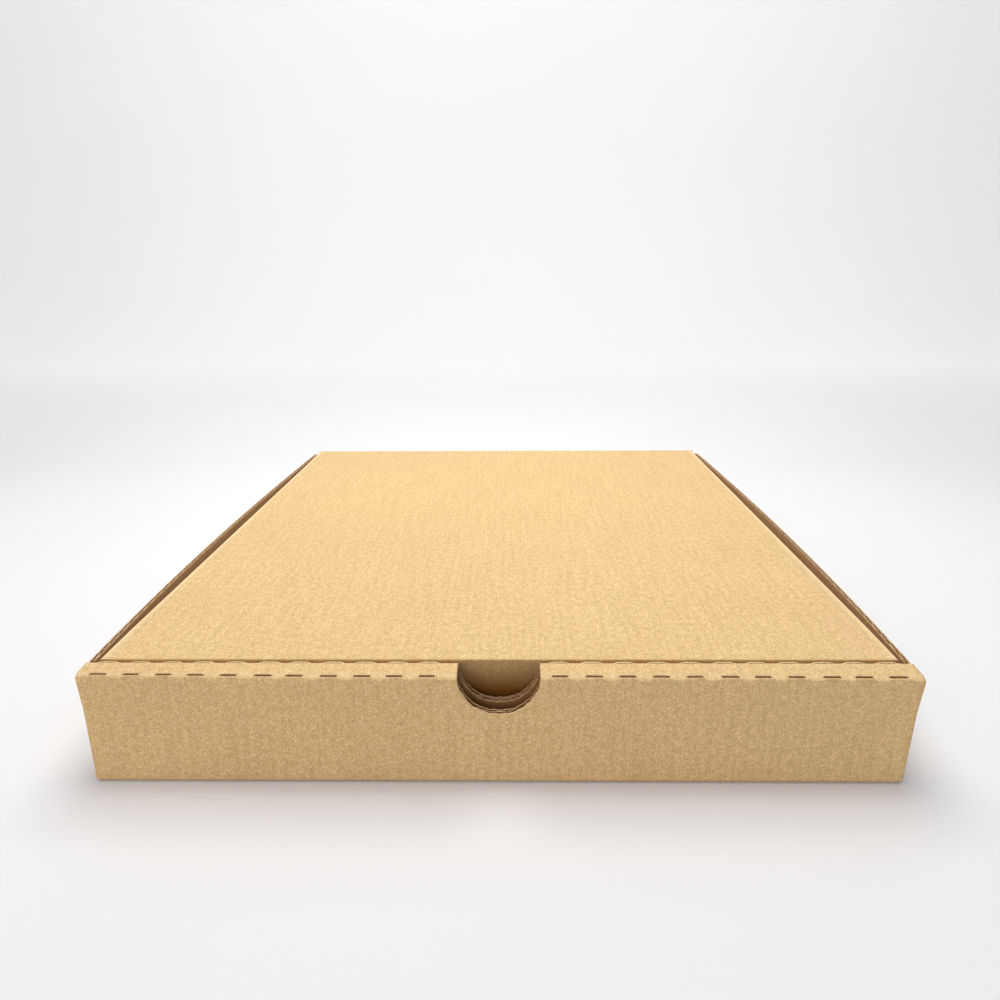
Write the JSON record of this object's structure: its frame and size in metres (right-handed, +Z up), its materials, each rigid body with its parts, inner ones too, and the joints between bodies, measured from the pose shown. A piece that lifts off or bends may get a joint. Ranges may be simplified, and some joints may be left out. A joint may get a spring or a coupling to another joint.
{
  "type": "pizza box",
  "caption": "Plain kraft corrugated pizza box, closed, with a rolled double front wall, a half-round finger notch and a tuck-in lid that swings up on its rear crease.",
  "frame": {"origin": "middle of the box's footprint, on the surface it stands on", "axes": "+Z up; -Y towards the rolled front wall with the finger notch; +Y towards the back wall and the lid's crease; +X to the right seen from the front"},
  "size_m": [0.3198, 0.32, 0.046],
  "materials": {
    "kraft_board": "matte"
  },
  "bodies": {
    "tray": {"tray": "kraft_board"},
    "lid": {"lid": "kraft_board"}
  },
  "joints": [
    {"name": "lid_crease", "type": "hinge", "parent": "tray", "child": "lid", "pos_m": [0, 0.1585, 0.0445], "axis": [-1, 0, 0], "range_deg": [0, 180]}
  ]
}
